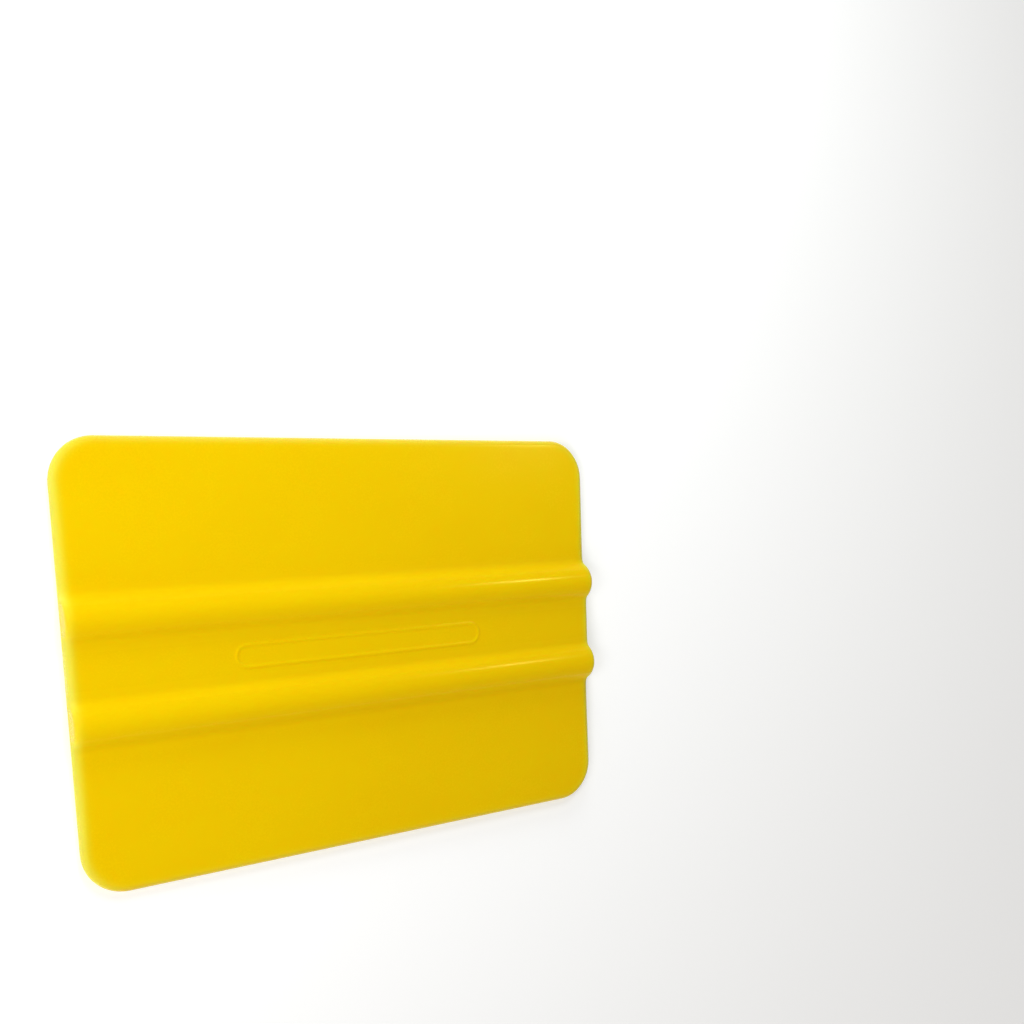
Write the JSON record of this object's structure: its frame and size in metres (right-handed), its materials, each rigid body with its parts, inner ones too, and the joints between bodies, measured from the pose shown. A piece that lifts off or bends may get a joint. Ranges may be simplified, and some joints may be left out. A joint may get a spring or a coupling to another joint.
{
  "type": "squeegee applicator",
  "caption": "Rectangular hand squeegee card with rounded corners, two grip ribs across the front and thin rounded working edges, for pressing down adhesive film.",
  "frame": {"origin": "bottom centre of the bounding box: the middle of the flat back, which the card lies on", "axes": "+X along the two long working edges, +Y across the card towards one working edge, +Z out of the ribbed front"},
  "size_m": [0.1, 0.07, 0.0047],
  "materials": {
    "yellow_plastic": "semi-gloss moulded polypropylene, slightly translucent where thin"
  },
  "bodies": {
    "root": {"applicator_body": "yellow_plastic"}
  },
  "joints": []
}
